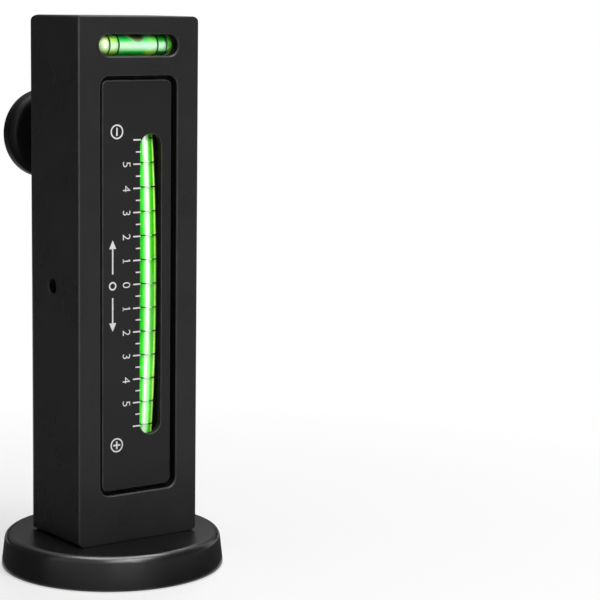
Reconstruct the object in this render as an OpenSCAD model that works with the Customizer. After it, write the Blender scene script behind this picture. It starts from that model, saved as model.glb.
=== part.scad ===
// Camber caster gauge: a block with three spirit vials, standing on a round magnet.
// Millimetres. +Z up, origin in the middle of the magnet's lower face, scale side towards -Y.

/* [Body] */
// Width of the block
body_w = 40.2; // [37:0.1:48]
// Depth of the block, from the scale side to the knob side
body_d = 29; // [28.5:0.1:36]
// Height of the block
body_h = 152; // [146:0.5:190]
// Radius of three of the block's corners, seen from the scale side
corner_r = 2.2; // [0.5:0.1:4]
// Radius of the fourth corner, beside the cross level
square_corner_r = 0.8; // [0.5:0.1:4]
// Rounding round the scale side
front_edge_r = 0.5; // [0.2:0.1:1]
// Rounding of the two upright edges and the lower edge at the knob side
back_edge_r = 3; // [0.5:0.1:4]
// Rounding of the upper edge at the knob side
back_top_r = 6; // [0.5:0.1:8]
// Broken edge round each opening in the block
edge_break = 0.35; // [0.1:0.05:0.6]

/* [Scale plate] */
// Width of the pocket that the plate lies in
pocket_w = 25.7; // [24:0.1:30]
// Height of the pocket
pocket_h = 121; // [112:0.5:125]
// Corner radius of the pocket
pocket_r = 3; // [1.5:0.1:5]
// Height of the pocket's middle above the block's foot
pocket_mid = 74.7; // [72:0.1:78]
// Groove between the plate and the pocket's wall
plate_gap = 1.25; // [0.4:0.05:2]
// Depth of the plate's face below the block's face
plate_recess = 1.2; // [0.3:0.1:1.5]
// Thickness of the plate
plate_t = 1.9; // [1:0.1:1.9]
// Broken edge round the plate and its slot
plate_break = 0.3; // [0.1:0.05:0.5]
// Width of the slot over the camber vial
slot_w = 7.2; // [6.8:0.1:8.5]
// Height of the slot
slot_h = 87.8; // [60:0.5:89]
// Distance of the slot from the block's middle
slot_x = 4.7; // [0:0.1:6]

/* [Camber vial] */
// Outer diameter of the camber vial's tube
vial_d = 6.2; // [5.2:0.1:6.4]
// Wall of every vial's tube
vial_wall = 0.6; // [0.4:0.05:0.8]
// Radius that the camber vial is bent to, which sets how far its bubble runs per degree
camber_bend_r = 398; // [360:1:520]
// Half of the camber vial's length
camber_half = 52; // [45:0.5:53]
// Height of the camber scale's zero above the block's foot
camber_zero = 75.3; // [73:0.1:77]
// Depth of the vial's nearest point below the block's face
camber_set = 0.7; // [0.3:0.1:1.2]
// Scale marks on each side of zero, one for each degree
camber_degrees = 6; // [2:1:6]

/* [Cross level] */
// Width of the cross level's slot
level_slot_w = 26.3; // [22:0.1:30]
// Height of the cross level's slot
level_slot_h = 6.2; // [5.6:0.1:7.5]
// Distance of the cross level below the block's top
level_drop = 8.2; // [7:0.1:9.5]
// Outer diameter of the cross level's tube
level_d = 5.8; // [5:0.1:7]
// Length of the cross level's tube
level_len = 25.2; // [20:0.1:28]
// Depth of the tube's nearest point below the block's face
level_set = 0.6; // [0.3:0.1:1.5]
// Distance of each inner ring from the level's middle
level_ring = 6.5; // [4:0.1:7]

/* [Caster vial] */
// Outer diameter of the caster vial's tube
caster_d = 5.6; // [4.8:0.1:5.8]
// Radius that the caster vial is bent to
caster_bend_r = 260; // [240:5:400]
// Half of the caster vial's length
caster_half = 27; // [20:0.5:27.5]
// Height of the caster vial's middle above the block's foot
caster_mid = 43; // [40:0.5:44]
// Depth of the tube's nearest point below the carrier's face
caster_set = 0.3; // [0.1:0.1:0.6]

/* [Carrier and its pivot] */
// Width of the carrier's body
carrier_w = 16; // [14:0.1:17]
// Gap between the carrier and each side of its window
window_gap = 1; // [0.4:0.1:2]
// Height of the window's lower end above the block's foot
window_low = 11; // [10.5:0.1:12]
// Height of the window
window_h = 79; // [78:0.1:82]
// Depth of the carrier's face below the block's knob side
carrier_recess = 4; // [3.5:0.1:5]
// Thickness of the carrier's body
carrier_t = 8.9; // [8.5:0.1:9.2]
// Height of the pivot above the block's foot
pivot_z = 74.5; // [73.5:0.1:76]
// Distance of the pivot behind the block's middle plane
pivot_y = 0.6; // [0.4:0.1:0.8]
// Diameter of the pivot pin
pivot_d = 3; // [2:0.1:3.4]
// Diameter of the hole that the pin's end is sunk in
pin_hole_d = 4.3; // [3.6:0.1:5]
// Depth of the pin's end below the block's side
pin_sink = 2.2; // [1:0.1:3]

/* [Caster adjuster] */
// Height of the knob's axis above the block's foot
knob_z = 115.8; // [112:0.1:118]
// Diameter of the knob
knob_d = 27; // [18:0.5:34]
// Thickness of the knob's disc
knob_t = 7; // [5.5:0.1:10]
// Rounding of the disc's rim
knob_edge_r = 2.6; // [1:0.1:2.7]
// Distance from the block to the knob's disc
knob_reach = 21.5; // [18:0.5:26]
// Diameter of the knob's hub where the spring bears on it
hub_d = 11; // [9.5:0.1:14]
// Length of the hub
hub_l = 11; // [8:0.5:13]
// Diameter of the adjusting screw
screw_d = 5; // [4:0.1:5.2]
// Rise of the screw in one turn
screw_pitch = 0.8; // [0.5:0.1:1]
// Turns of the screw each way from the middle
screw_turns = 2; // [1:1:2]
// Thickness of the block's wall that holds the bush
bush_wall = 4; // [3.5:0.1:4.5]
// Wire of the spring between the knob and the block
knob_wire_d = 0.8; // [0.5:0.1:0.9]
// Turns of the spring between the knob and the block
knob_turns = 5; // [3:1:6]
// Wire of the spring behind the carrier's arm
return_wire_d = 0.6; // [0.4:0.1:0.6]
// Turns of the spring behind the carrier's arm
return_turns = 3; // [2:1:3]

/* [Magnet] */
// Diameter of the magnet's rubber jacket at its foot
magnet_d = 66; // [60:1:90]
// Height of the magnet
magnet_h = 10; // [9.5:0.1:14]
// How much narrower the jacket is at its top
jacket_taper = 1.2; // [0:0.1:4]
// Rounding of the jacket's upper edge
jacket_edge_r = 2.2; // [0.5:0.1:3]
// Rubber under the magnets
jacket_floor = 1; // [0.6:0.1:1.6]
// Number of magnet discs in the ring
disc_count = 12; // [6:1:13]
// Diameter of one magnet disc
disc_d = 10; // [6:0.5:10]
// Height of one magnet disc
disc_h = 4.2; // [3:0.1:4.5]
// Diameter of the screw that joins the block to the magnet
stud_d = 6; // [4:0.5:8]

/* [Hidden] */
$fn = 64;
slip = 0.02; // clearance of what is pressed or glued in
run = 0.05; // radial clearance of what turns
cut = 1; // how far a cutter runs past a face
hair = 0.001; // keeps two meeting corner arcs apart

front_y = -body_d / 2;
back_y = body_d / 2;
level_z = body_h - level_drop;

FRONT = [90, 0, -90]; // a bent vial's convex side faces the scale side
BACK = [90, 0, 90]; // a bent vial's convex side faces the knob side

plug_l = 2;
ring_w = 0.4;
ring_t = 0.1;
ring_step = 3; // between the two rings at each side of the cross level
bubble_l = 7;
bed_t = 1;

camber_r = vial_d / 2;
camber_bore = camber_r - vial_wall;
camber_y = front_y + camber_set + camber_r;
camber_trough = camber_half + 1;

level_r = level_d / 2;
level_bore = level_r - vial_wall;
level_y = front_y + level_set + level_r;
level_depth = level_set + level_d + bed_t;
level_half = level_len / 2 - level_r; // to where its round end starts

caster_r = caster_d / 2;
caster_bore = caster_r - vial_wall;
carrier_back = back_y - carrier_recess;
carrier_front = carrier_back - carrier_t;
caster_y = carrier_back - caster_set - caster_r;
caster_side = 0.4;

window_w = carrier_w + 2 * window_gap;
window_r = 3;
window_top = window_low + window_h;
cavity_y = carrier_front - 3;
carrier_low = window_low + 3;
carrier_top = window_top - 8;
boss_r = pivot_d / 2 + 1.5;
boss_gap = 0.3;

pad_gap = 0.2;
pad_r = 3;
pad_t = 1.5;
pad_back = back_y - bush_wall - screw_turns * screw_pitch - pad_gap;
pad_front = pad_back - pad_t;

arm_w = 7;
arm_t = 3;
arm_end_r = 2;
arm_back = pad_front - pad_gap;
arm_front = arm_back - arm_t;
arm_top = knob_z + pad_r + 1;
arm_root = 2; // how far the arm reaches down into the carrier's body
channel_w = arm_w + 3;
channel_top = arm_top + 3.2;
carrier_edge_r = 1;
nose_r = 1.5;
nose_l = 0.8;
screw_r = screw_d / 2;
bush_r = screw_r + 2;
bush_flange_r = screw_r + 4;
bush_flange_t = 1.5;
bush_face = back_y + bush_flange_t;
disc_face = back_y + knob_reach;
disc_back = disc_face + knob_t;
hub_face = disc_face - hub_l;
hub_flare = 1.5; // how much wider the hub is where it meets the disc
hub_sink = 1; // how far the hub's cone runs into the disc
screw_in_knob = hub_l + 2;
dish_r = 0.9 * knob_d; // the knob's outer face is a shallow dish
dish_depth = 0.6;

jacket_r = magnet_d / 2;
jacket_foot_r = 0.5;
yoke_z = jacket_floor + disc_h;
yoke_t = 2.8;
yoke_r = jacket_r - 5;
disc_ring_r = yoke_r - disc_d / 2 - 2;
magnet_bush_r = stud_d / 2 + 2;
magnet_flange_r = stud_d / 2 + 4;
stud_r = stud_d / 2;
stud_low = yoke_z;
stud_in_block = 8;
stud_top = magnet_h + stud_in_block;
stud_hole_gap = 0.5; // between the stud's end and the bottom of its hole

// ---- placing and drawing helpers ----

// The block's own frame, whose foot stands on the magnet.
module on_magnet() {
    translate([0, 0, magnet_h]) children();
}

// An outline drawn in X and Z, pushed along Y.
module along_y(y0, y1) {
    translate([0, y1, 0]) rotate([90, 0, 0]) linear_extrude(y1 - y0) children();
}

// An outline drawn in Y and Z, pushed along X.
module along_x(x0, x1) {
    translate([x0, 0, 0]) rotate([90, 0, 90]) linear_extrude(x1 - x0) children();
}

module y_rod(y0, y1, r) {
    translate([0, y1, 0]) rotate([90, 0, 0]) cylinder(h = y1 - y0, r = r);
}

module x_rod(x0, x1, r) {
    translate([x0, 0, 0]) rotate([0, 90, 0]) cylinder(h = x1 - x0, r = r);
}

// A w by h rectangle about the middle whose corners have the radii
// [right top, left top, left bottom, right bottom].
module round_rect(w, h, radii) {
    signs = [[1, 1], [-1, 1], [-1, -1], [1, -1]];
    difference() {
        square([w, h], center = true);
        for (i = [0:3]) {
            r = radii[i];
            translate([signs[i][0] * (w / 2 - r), signs[i][1] * (h / 2 - r)])
                difference() {
                    translate([signs[i][0] > 0 ? 0 : -r - cut, signs[i][1] > 0 ? 0 : -r - cut])
                        square(r + cut);
                    circle(r);
                }
        }
    }
}

function all_round(r) = [r, r, r, r];

// A slot outline with fully round ends along its longer side.
module stadium(w, h) {
    r = min(w, h) / 2;
    round_rect(w, h, all_round(r - hair));
}

// A cutter that breaks the edge of a w by h opening with corner radius r. It has the opening's
// own outline at height 0 and widens by as much as it is high.
module flare(w, h, r, high) {
    for (x = [-1, 1], y = [-1, 1])
        translate([x * (w / 2 - r), y * (h / 2 - r), 0]) cylinder(h = high, r1 = r, r2 = r + high);
    flare_bar(w, h - 2 * r, high);
    rotate([0, 0, 90]) flare_bar(h, w - 2 * r, high);
}

// The straight part of a flare, whose two walls lean out along X.
module flare_bar(w, l, high) {
    translate([0, l / 2, 0])
        rotate([90, 0, 0])
            linear_extrude(l)
                polygon([[-w / 2, 0], [w / 2, 0], [w / 2 + high, high], [-w / 2 - high, high]]);
}

// Breaks an opening's edge in a face at y that looks towards -Y, or towards +Y where back is true.
module break_edge(y, w, h, r, size, back = false) {
    translate([0, y, 0])
        rotate([back ? -90 : 90, 0, 0])
            translate([0, 0, -size])
                flare(w, h, r, size + cut);
}

// The path of a bent vial: an arc whose middle is at the origin. The outline's X points to the
// convex side, and turn is FRONT or BACK.
module bent(radius, half, turn) {
    angle = half / radius * 180 / PI;
    rotate(turn)
        translate([-radius, 0, 0])
            rotate([0, 0, -angle])
                rotate_extrude(angle = 2 * angle, $fn = 720)
                    translate([radius, 0])
                        children();
}

// A place on that path, a distance s along it: X to the convex side, Y along the path.
module on_bend(radius, s, turn) {
    rotate(turn)
        translate([-radius, 0, 0])
            rotate([0, 0, s / radius * 180 / PI])
                translate([radius, 0, 0])
                    children();
}

// ---- the pieces of a vial ----

// A bubble lies nearer the convex side of its bore, by a share of the bore that leaves it clear.
bubble_gap = 0.1;
function bubble_r(bore) = bore * 0.68;
function bubble_out(bore) = bore - bubble_gap - bubble_r(bore);

module ring_band(r) {
    rotate([90, 0, 0])
        difference() {
            cylinder(h = ring_w, r = r + ring_t, center = true);
            cylinder(h = ring_w + cut, r = r + slip, center = true);
        }
}

// A bubble that lies along Y.
module bubble(bore) {
    body_l = bubble_l - 2 * bubble_r(bore);
    rotate([90, 0, 0]) {
        cylinder(h = body_l, r = bubble_r(bore), center = true, $fn = 32);
        for (end = [-1, 1])
            translate([0, 0, end * body_l / 2])
                sphere(bubble_r(bore), $fn = 32);
    }
}

module bubble_at(radius, s, bore, turn) {
    on_bend(radius, s, turn)
        translate([bubble_out(bore), 0, 0])
            bubble(bore);
}

// The liquid fills the bore except the track along which the bubble moves.
module bent_fluid(radius, half, bore, turn) {
    bent(radius, half - plug_l, turn)
        difference() {
            circle(bore - run);
            translate([bubble_out(bore), 0]) circle(bubble_r(bore) + bubble_gap);
        }
}

module bent_tube(radius, half, r, bore, turn) {
    bent(radius, half, turn)
        difference() {
            circle(r);
            circle(bore);
        }
}

module bent_plugs(radius, half, bore, turn) {
    for (end = [-1, 1])
        on_bend(radius, end * (half - plug_l / 2), turn)
            rotate([90, 0, 0])
                cylinder(h = plug_l - 0.1, r = bore - slip, center = true);
}

// Side outline, in Y and Z, of a trough whose floor follows the vial. The vial's middle is at
// the origin, side is the way its convex side faces, and floor_d is how far the floor lies
// behind the vial's middle.
module trough_outline(radius, half, side, floor_d, mouth_d) {
    difference() {
        translate([side > 0 ? -2 * floor_d : -mouth_d, -half])
            square([2 * floor_d + mouth_d, 2 * half]);
        translate([-side * radius, 0]) circle(radius - floor_d, $fn = 1440);
    }
}

// A bed is the part of the trough that lies behind the vial's middle.
module bed_outline(radius, half, side, floor_d) {
    intersection() {
        trough_outline(radius, half, side, floor_d, 0);
        translate([-side * radius, 0]) circle(radius, $fn = 1440);
    }
}

// ---- block ----

module block_shape() {
    intersection() {
        translate([0, 0, body_h / 2])
            along_y(front_y, back_y)
                round_rect(body_w, body_h, [corner_r, square_corner_r, corner_r, corner_r]);
        linear_extrude(body_h)
            round_rect(body_w, body_d, [back_edge_r, back_edge_r, front_edge_r, front_edge_r]);
        translate([0, 0, body_h / 2])
            along_x(-body_w / 2, body_w / 2)
                round_rect(body_d, body_h, [back_top_r, front_edge_r, front_edge_r, back_edge_r]);
    }
}

module pocket_cut() {
    translate([0, 0, pocket_mid])
        along_y(front_y - cut, front_y + plate_recess + plate_t)
            round_rect(pocket_w, pocket_h, all_round(pocket_r));
    translate([0, 0, pocket_mid])
        break_edge(front_y, pocket_w, pocket_h, pocket_r, edge_break);
}

module camber_trough_cut() {
    translate([0, camber_y, camber_zero])
        along_x(slot_x - slot_w / 2, slot_x + slot_w / 2)
            trough_outline(camber_bend_r, camber_trough, -1, camber_r + bed_t, camber_r);
}

module level_cut() {
    translate([0, 0, level_z])
        along_y(front_y - cut, front_y + level_depth)
            stadium(level_slot_w, level_slot_h);
    translate([0, 0, level_z])
        break_edge(front_y, level_slot_w, level_slot_h, level_slot_h / 2 - hair, edge_break);
}

module window_cut() {
    translate([0, 0, window_low + window_h / 2])
        along_y(cavity_y, back_y + cut)
            round_rect(window_w, window_h, all_round(window_r));
    translate([0, 0, window_low + window_h / 2])
        break_edge(back_y, window_w, window_h, window_r, edge_break, back = true);
    translate([0, pivot_y, pivot_z])
        x_rod(-window_w / 2, window_w / 2, boss_r + 2 * boss_gap);
}

// The arm reaches up under the wall that holds the bush.
module channel_cut() {
    translate([-channel_w / 2, cavity_y, carrier_top])
        cube([channel_w, back_y - bush_wall - cavity_y, channel_top - carrier_top]);
    translate([0, 0, knob_z]) y_rod(cavity_y, back_y + cut, bush_r + slip);
}

module pin_cuts() {
    translate([0, pivot_y, pivot_z]) {
        x_rod(-body_w / 2 - cut, body_w / 2 + cut, pivot_d / 2 + slip);
        for (side = [0, 180])
            rotate([0, 0, side]) {
                x_rod(body_w / 2 - pin_sink, body_w / 2 + cut, pin_hole_d / 2);
                translate([body_w / 2 - edge_break, 0, 0])
                    rotate([0, 90, 0])
                        cylinder(
                            h = edge_break + cut,
                            r1 = pin_hole_d / 2, r2 = pin_hole_d / 2 + edge_break + cut
                        );
            }
    }
}

module housing() {
    color([0.10, 0.10, 0.105])
        on_magnet()
            difference() {
                block_shape();
                pocket_cut();
                camber_trough_cut();
                level_cut();
                window_cut();
                channel_cut();
                pin_cuts();
                translate([0, 0, -cut])
                    cylinder(h = stud_in_block + stud_hole_gap + cut, r = stud_r + run);
            }
}

module camber_scale_plate() {
    plate_w = pocket_w - 2 * plate_gap;
    plate_h = pocket_h - 2 * plate_gap;
    plate_r = pocket_r - plate_gap;
    plate_y = front_y + plate_recess;
    color([0.13, 0.13, 0.13])
        on_magnet()
            difference() {
                translate([0, 0, pocket_mid]) {
                    along_y(plate_y + plate_break, plate_y + plate_t)
                        round_rect(plate_w, plate_h, all_round(plate_r));
                    translate([0, plate_y, 0])
                        rotate([-90, 0, 0])
                            flare(
                                plate_w - 2 * plate_break, plate_h - 2 * plate_break,
                                plate_r - plate_break, plate_break
                            );
                }
                translate([slot_x, 0, pocket_mid]) {
                    along_y(front_y, plate_y + plate_t + cut) stadium(slot_w, slot_h);
                    break_edge(plate_y, slot_w, slot_h, slot_w / 2 - hair, plate_break / 2);
                }
                // The bent vial bears in a shallow arc across the plate's back, past the slot's ends.
                translate([slot_x, camber_y, camber_zero])
                    bent(camber_bend_r, camber_half + cut, FRONT) circle(camber_r + run);
            }
}

// ---- camber vial ----

module at_camber() {
    on_magnet() translate([slot_x, camber_y, camber_zero]) children();
}

module camber_vial_tube() {
    color([0.75, 0.95, 0.8, 0.4])
        at_camber() bent_tube(camber_bend_r, camber_half, camber_r, camber_bore, FRONT);
}

module camber_vial_fluid() {
    color([0.15, 0.85, 0.3])
        at_camber() bent_fluid(camber_bend_r, camber_half, camber_bore, FRONT);
}

// With the gauge standing on its magnet the bubble rests at the vial's upper end.
camber_bubble_s = camber_half - plug_l - bubble_l / 2 - 0.2;

module camber_vial_bubble() {
    color([0.85, 1, 0.85])
        at_camber() bubble_at(camber_bend_r, camber_bubble_s, camber_bore, FRONT);
}

module camber_vial_plugs() {
    color([0.9, 0.9, 0.85])
        at_camber() bent_plugs(camber_bend_r, camber_half, camber_bore, FRONT);
}

// Only the marks that the plate's slot shows are there.
module camber_vial_rings() {
    degree = camber_bend_r * PI / 180;
    shown = floor((slot_h / 2 - abs(camber_zero - pocket_mid)) / degree);
    last = min(camber_degrees, shown);
    color([0.02, 0.02, 0.02])
        at_camber()
            for (i = [-last:last])
                on_bend(camber_bend_r, i * degree, FRONT) ring_band(camber_r);
}

module camber_vial_bed() {
    color([0.9, 0.9, 0.88])
        difference() {
            on_magnet()
                translate([0, camber_y, camber_zero])
                    along_x(slot_x - slot_w / 2 + slip, slot_x + slot_w / 2 - slip)
                        bed_outline(camber_bend_r, camber_trough - slip, -1, camber_r + bed_t - slip);
            at_camber() bent(camber_bend_r, camber_half, FRONT) circle(camber_r + ring_t + slip);
        }
}

// ---- cross level ----

module at_level() {
    on_magnet() translate([0, level_y, level_z]) children();
}

// The cross level's tube is closed by round ends, so it has no plugs.
module level_outline(r) {
    intersection() {
        translate([0, -level_len / 2]) square([r, level_len]);
        union() {
            translate([0, -level_half]) square([r, 2 * level_half]);
            for (end = [-1, 1])
                translate([0, end * level_half]) circle(r);
        }
    }
}

module level_capsule(r) {
    rotate([0, 90, 0]) rotate_extrude() level_outline(r);
}

module level_vial_tube() {
    color([0.75, 0.95, 0.8, 0.4])
        at_level()
            rotate([0, 90, 0])
                rotate_extrude()
                    difference() {
                        level_outline(level_r);
                        level_outline(level_bore);
                    }
}

module level_vial_fluid() {
    color([0.15, 0.85, 0.3])
        at_level()
            difference() {
                level_capsule(level_bore - run);
                translate([0, 0, bubble_out(level_bore)])
                    x_rod(-level_half, level_half, bubble_r(level_bore) + bubble_gap);
            }
}

module level_vial_bubble() {
    color([0.85, 1, 0.85])
        at_level()
            translate([0, 0, bubble_out(level_bore)])
                rotate([0, 0, 90])
                    bubble(level_bore);
}

module level_vial_rings() {
    color([0.02, 0.02, 0.02])
        at_level()
            for (x = [-level_ring - ring_step, -level_ring, level_ring, level_ring + ring_step])
                translate([x, 0, 0]) rotate([0, 0, 90]) ring_band(level_r);
}

module level_vial_bed() {
    color([0.9, 0.9, 0.88])
        difference() {
            on_magnet()
                translate([0, 0, level_z])
                    along_y(level_y, front_y + level_depth - slip)
                        stadium(level_slot_w - 2 * slip, level_slot_h - 2 * slip);
            at_level() level_capsule(level_r + ring_t + slip);
        }
}

// ---- caster carrier and its vial ----

module carrier_outline() {
    translate([(carrier_front + carrier_back) / 2, (carrier_low + carrier_top) / 2])
            round_rect(carrier_t, carrier_top - carrier_low, all_round(carrier_edge_r));
}

module caster_carrier() {
    color([0.16, 0.16, 0.17])
        on_magnet()
            difference() {
                union() {
                    along_x(-carrier_w / 2, carrier_w / 2) carrier_outline();
                    translate([0, pivot_y, pivot_z])
                        x_rod(-window_w / 2 + boss_gap, window_w / 2 - boss_gap, boss_r);
                    translate([0, 0, (carrier_top - arm_root + arm_top) / 2])
                        along_y(arm_front, arm_back)
                            round_rect(
                                arm_w, arm_top - carrier_top + arm_root,
                                [arm_end_r, arm_end_r, hair, hair]
                            );
                }
                translate([0, pivot_y, pivot_z])
                    x_rod(-window_w, window_w, pivot_d / 2 + run);
                translate([0, caster_y, caster_mid])
                    along_x(-caster_r - caster_side, caster_r + caster_side)
                        trough_outline(
                            caster_bend_r, caster_half + caster_side, 1,
                            caster_r + bed_t / 2, carrier_t
                        );
            }
}

module pivot_pin() {
    color([0.72, 0.73, 0.75])
        on_magnet()
            translate([0, pivot_y, pivot_z])
                x_rod(-body_w / 2 + pin_sink, body_w / 2 - pin_sink, pivot_d / 2);
}

module at_caster() {
    on_magnet() translate([0, caster_y, caster_mid]) children();
}

module caster_vial_tube() {
    color([0.75, 0.95, 0.8, 0.4])
        at_caster() bent_tube(caster_bend_r, caster_half, caster_r, caster_bore, BACK);
}

module caster_vial_fluid() {
    color([0.15, 0.85, 0.3])
        at_caster() bent_fluid(caster_bend_r, caster_half, caster_bore, BACK);
}

caster_bubble_s = caster_half - plug_l - bubble_l / 2 - 0.2;

module caster_vial_bubble() {
    color([0.85, 1, 0.85])
        at_caster() bubble_at(caster_bend_r, caster_bubble_s, caster_bore, BACK);
}

module caster_vial_plugs() {
    color([0.9, 0.9, 0.85])
        at_caster() bent_plugs(caster_bend_r, caster_half, caster_bore, BACK);
}

// Steering through 20 degrees each way tilts the gauge by 2 sin 20 of a degree for each degree
// of caster, and every second degree has a ring.
caster_degree = 2 * sin(20) * caster_bend_r * PI / 180;

module caster_vial_rings() {
    color([0.02, 0.02, 0.02])
        at_caster()
            for (i = [-6:2:6])
                on_bend(caster_bend_r, i * caster_degree, BACK) ring_band(caster_r);
}

module caster_vial_bed() {
    color([0.9, 0.9, 0.88])
        difference() {
            on_magnet()
                translate([0, caster_y, caster_mid])
                    along_x(-caster_r - caster_side + slip, caster_r + caster_side - slip)
                        bed_outline(
                            caster_bend_r, caster_half + caster_side - slip, 1,
                            caster_r + bed_t / 2 - slip
                        );
            at_caster() bent(caster_bend_r, caster_half, BACK) circle(caster_r + ring_t + slip);
        }
}

// ---- springs ----

ring_steps = 8;
wire_sides = 6;

// Points on the axis of a spring that runs along +Y from y0 to y1. Each end is a straight leg,
// one wire long and square to its seat.
function spring_path(coil_r, y0, y1, turns, wire) = concat(
    [[coil_r, y0, 0]],
    [for (i = [0:turns * ring_steps])
        let (a = i * 360 / ring_steps)
        let (y = y0 + wire * 1.5 + i * (y1 - y0 - 3 * wire) / (turns * ring_steps))
        [coil_r * cos(a), y, coil_r * sin(a)]],
    [[coil_r, y1, 0]]
);

function unit(v) = v / norm(v);

// The direction in which the wire runs at each point.
function spring_way(path) = [
    for (i = [0:len(path) - 1])
        i == 0 || i == len(path) - 1 ? [0, 1, 0]
            : unit(path[i + 1] - path[i - 1])
];

// One six-sided ring about each point, turned so that its first corner faces away from the axis.
function wire_ring(point, way, r) =
    let (out = unit([point[0], 0, point[2]]))
    let (side = unit(cross(way, out)))
    let (up = cross(side, way))
    [for (k = [0:wire_sides - 1])
        let (a = k * 360 / wire_sides)
        point + r * (cos(a) * up + sin(a) * side)];

module spring(coil_r, y0, y1, turns, wire) {
    path = spring_path(coil_r, y0, y1, turns, wire);
    ways = spring_way(path);
    rings = len(path);
    points = [for (i = [0:rings - 1]) each wire_ring(path[i], ways[i], wire / 2)];
    walls = [
        for (i = [0:rings - 2])
            for (k = [0:wire_sides - 1])
                let (a = i * wire_sides + k)
                let (b = i * wire_sides + (k + 1) % wire_sides)
                each [[a, b, b + wire_sides], [a, b + wire_sides, a + wire_sides]]
    ];
    first = [for (k = [1:wire_sides - 2]) [0, k + 1, k]];
    base = (rings - 1) * wire_sides;
    last = [for (k = [1:wire_sides - 2]) [base, base + k, base + k + 1]];
    polyhedron(points = points, faces = concat(first, walls, last), convexity = 10);
}

// The least gap between one turn's wire and the next, measured between points a turn apart.
function spring_gap(coil_r, y0, y1, turns, wire) =
    let (path = spring_path(coil_r, y0, y1, turns, wire))
    min([
        for (i = [0:len(path) - 1])
            for (j = [i + ring_steps / 2:1:len(path) - 1])
                norm(path[i] - path[j])
    ]) - wire;

knob_coil_r = screw_r + 0.6 + knob_wire_d / 2;
knob_spring_low = bush_face + slip;
knob_spring_high = hub_face - slip;
return_coil_r = 2.4;
return_low = cavity_y + slip;
return_high = arm_front - slip;

echo(knob_spring_gap = spring_gap(
    knob_coil_r, knob_spring_low, knob_spring_high, knob_turns, knob_wire_d
));
echo(return_spring_gap = spring_gap(
    return_coil_r, return_low, return_high, return_turns, return_wire_d
));

module return_spring() {
    color([0.7, 0.71, 0.73])
        on_magnet()
            translate([0, 0, knob_z])
                spring(return_coil_r, return_low, return_high, return_turns, return_wire_d);
}

module knob_spring() {
    color([0.7, 0.71, 0.73])
        on_magnet()
            translate([0, 0, knob_z])
                spring(knob_coil_r, knob_spring_low, knob_spring_high, knob_turns, knob_wire_d);
}

// ---- adjuster ----

// The pad doesn't turn: the screw's nose turns in it. Its face is a shallow dome.
module thrust_pad() {
    dome_r = 3 * pad_r;
    color([0.85, 0.85, 0.8])
        on_magnet()
            translate([0, pad_front, knob_z])
                rotate([-90, 0, 0])
                    rotate_extrude()
                        difference() {
                            intersection() {
                                square([pad_r, pad_t]);
                                translate([0, dome_r]) circle(dome_r, $fn = 360);
                            }
                            translate([0, pad_t - nose_l - run]) square([nose_r + run, pad_t]);
                        }
}

module adjuster_screw() {
    color([0.7, 0.71, 0.73])
        on_magnet()
            translate([0, 0, knob_z]) {
                y_rod(pad_back + run, hub_face + screw_in_knob, screw_r);
                y_rod(pad_back - nose_l, pad_back + 2 * run, nose_r);
            }
}

module adjuster_bush() {
    color([0.78, 0.62, 0.3])
        on_magnet()
            translate([0, 0, knob_z])
                difference() {
                    union() {
                        y_rod(back_y - bush_wall, back_y + cut, bush_r);
                        y_rod(back_y, bush_face, bush_flange_r);
                    }
                    y_rod(back_y - bush_wall - cut, bush_face + cut, screw_r + run);
                }
}

// Half of the knob's outline: X is the distance from its axis and Y runs along the axis.
module knob_outline() {
    hub_r = hub_d / 2;
    difference() {
        union() {
            translate([0, disc_face]) intersection() {
                translate([0, knob_t / 2]) round_rect(knob_d, knob_t, all_round(knob_edge_r));
                square([knob_d, knob_t]);
            }
            polygon([
                [0, hub_face], [hub_r, hub_face],
                [hub_r + hub_flare, disc_face + hub_sink], [0, disc_face + hub_sink]
            ]);
        }
        translate([0, hub_face - cut]) square([screw_r + slip, screw_in_knob + slip + cut]);
        translate([0, disc_back + dish_r]) circle(dish_r + dish_depth, $fn = 360);
    }
}

module caster_knob() {
    color([0.08, 0.08, 0.085])
        on_magnet()
            translate([0, 0, knob_z])
                rotate([-90, 0, 0])
                    rotate_extrude($fn = 96)
                        knob_outline();
}

// ---- magnet ----

// The jacket's wall leans in, and the rounding of its upper edge runs smoothly into it.
module jacket_outline() {
    slope = jacket_taper / magnet_h;
    wall_l = norm([1, slope]);
    centre_z = magnet_h - jacket_edge_r;
    centre_x = jacket_r - slope * centre_z - jacket_edge_r * wall_l;
    out = (jacket_edge_r + cut) / wall_l;
    foot_x = jacket_r - jacket_foot_r * (wall_l + slope);
    difference() {
        polygon([[0, 0], [jacket_r, 0], [jacket_r - jacket_taper, magnet_h], [0, magnet_h]]);
        translate([centre_x, centre_z])
            difference() {
                polygon([
                    [0, 0], [out, slope * out], [out, jacket_edge_r + cut], [0, jacket_edge_r + cut]
                ]);
                circle(jacket_edge_r);
            }
        translate([foot_x, jacket_foot_r])
            difference() {
                polygon([
                    [0, 0], [out, slope * out], [out, -jacket_foot_r - cut], [0, -jacket_foot_r - cut]
                ]);
                circle(jacket_foot_r);
            }
    }
}

module disc_places() {
    for (i = [0:disc_count - 1])
        rotate([0, 0, i * 360 / disc_count])
            translate([disc_ring_r, 0, jacket_floor])
                children();
}

module magnet_jacket() {
    color([0.09, 0.09, 0.09])
        difference() {
            rotate_extrude($fn = 128) jacket_outline();
            disc_places() cylinder(h = disc_h + cut, r = disc_d / 2 + slip);
            translate([0, 0, yoke_z]) cylinder(h = yoke_t, r = yoke_r + slip);
            translate([0, 0, yoke_z]) cylinder(h = magnet_h, r = magnet_flange_r + slip);
        }
}

module magnet_discs() {
    color([0.75, 0.76, 0.78])
        disc_places() cylinder(h = disc_h, r = disc_d / 2);
}

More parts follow.
